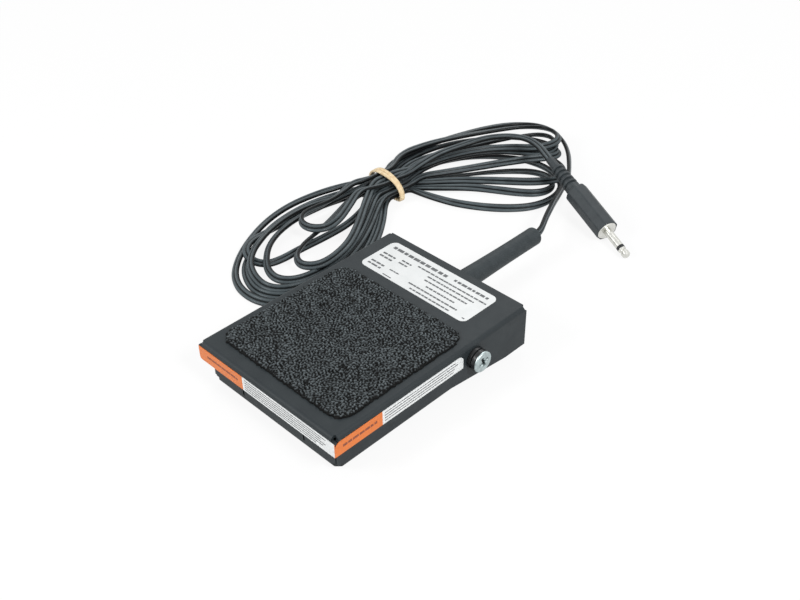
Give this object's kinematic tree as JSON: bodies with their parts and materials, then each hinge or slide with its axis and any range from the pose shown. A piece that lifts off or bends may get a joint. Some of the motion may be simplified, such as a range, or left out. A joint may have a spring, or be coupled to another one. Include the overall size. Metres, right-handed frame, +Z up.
{
  "type": "foot switch",
  "caption": "Low-profile steel foot switch with a hinged treadle, a rubber-mat top, a snap switch inside and a tied cord ending in a jack plug.",
  "frame": {"origin": "on the floor, under the middle of the treadle", "axes": "+X to the user's right, +Y to the rear where the cord leaves, +Z up"},
  "size_m": [0.141, 0.2245, 0.0211],
  "materials": {
    "black_enamel": "semi-gloss fine-texture black enamel on steel",
    "grip_mat": "coarse looped black grip mat",
    "label": "white printed film",
    "wrap_label": "white and orange printed film",
    "base_rubber": "matt black rubber",
    "zinc": "bright zinc plate",
    "nickel": "bright nickel plate",
    "nylon": "black nylon",
    "switch_plastic": "black phenolic moulding",
    "plunger_plastic": "red acetal",
    "brass": "silver-plated brass",
    "spring_steel": "zinc-plated spring steel",
    "cord_vinyl": "semi-matt black vinyl",
    "relief_vinyl": "matt black vinyl",
    "band_rubber": "tan natural rubber",
    "plug_vinyl": "satin black vinyl",
    "lead_vinyl": "red vinyl"
  },
  "bodies": {
    "base": {"base_tray": "black_enamel", "base_pad": "base_rubber", "spring_post": "zinc", "return_spring": "spring_steel", "pivot_bushing_left": "nylon", "pivot_bushing_right": "nylon", "pivot_screw_left": "zinc", "pivot_screw_right": "zinc", "pivot_nut_left": "zinc", "pivot_nut_right": "zinc", "switch_bracket": "zinc", "bracket_rivets": "zinc", "switch_case": "switch_plastic", "switch_cover": "switch_plastic", "switch_screws": "zinc", "switch_nuts": "zinc", "terminal_common": "brass", "terminal_normally_closed": "brass", "terminal_normally_open": "brass", "lead_common": "lead_vinyl", "lead_switched": "lead_vinyl", "strain_relief": "relief_vinyl", "cord_relief_run": "cord_vinyl", "cord_bundle": "cord_vinyl", "cord_plug_run": "cord_vinyl", "rubber_band": "band_rubber", "plug_boot": "plug_vinyl", "plug_handle": "plug_vinyl", "plug_collar": "nickel", "plug_sleeve": "nickel", "plug_insulator": "nylon", "plug_tip": "nickel"},
    "treadle": {"treadle": "black_enamel", "tread_pad": "grip_mat", "rating_label": "label", "wrap_label": "wrap_label", "striker": "zinc", "spring_cap": "zinc"},
    "plunger": {"switch_plunger": "plunger_plastic"}
  },
  "joints": [
    {"name": "treadle_hinge", "type": "hinge", "parent": "base", "child": "treadle", "pos_m": [0, 0.0189, 0.0133], "axis": [1, 0, 0], "range_deg": [0, 4], "stiffness_Nm_per_rad": 3, "springref_deg": -2.86, "deforming": ["return_spring"]},
    {"name": "plunger_slide", "type": "slide", "parent": "base", "child": "plunger", "axis": [0, 0, -1], "range_m": [0, 0.0014]}
  ],
  "couplings": [
    {"joint": "plunger_slide", "follows": "treadle_hinge", "m_per_rad": 0.02}
  ]
}
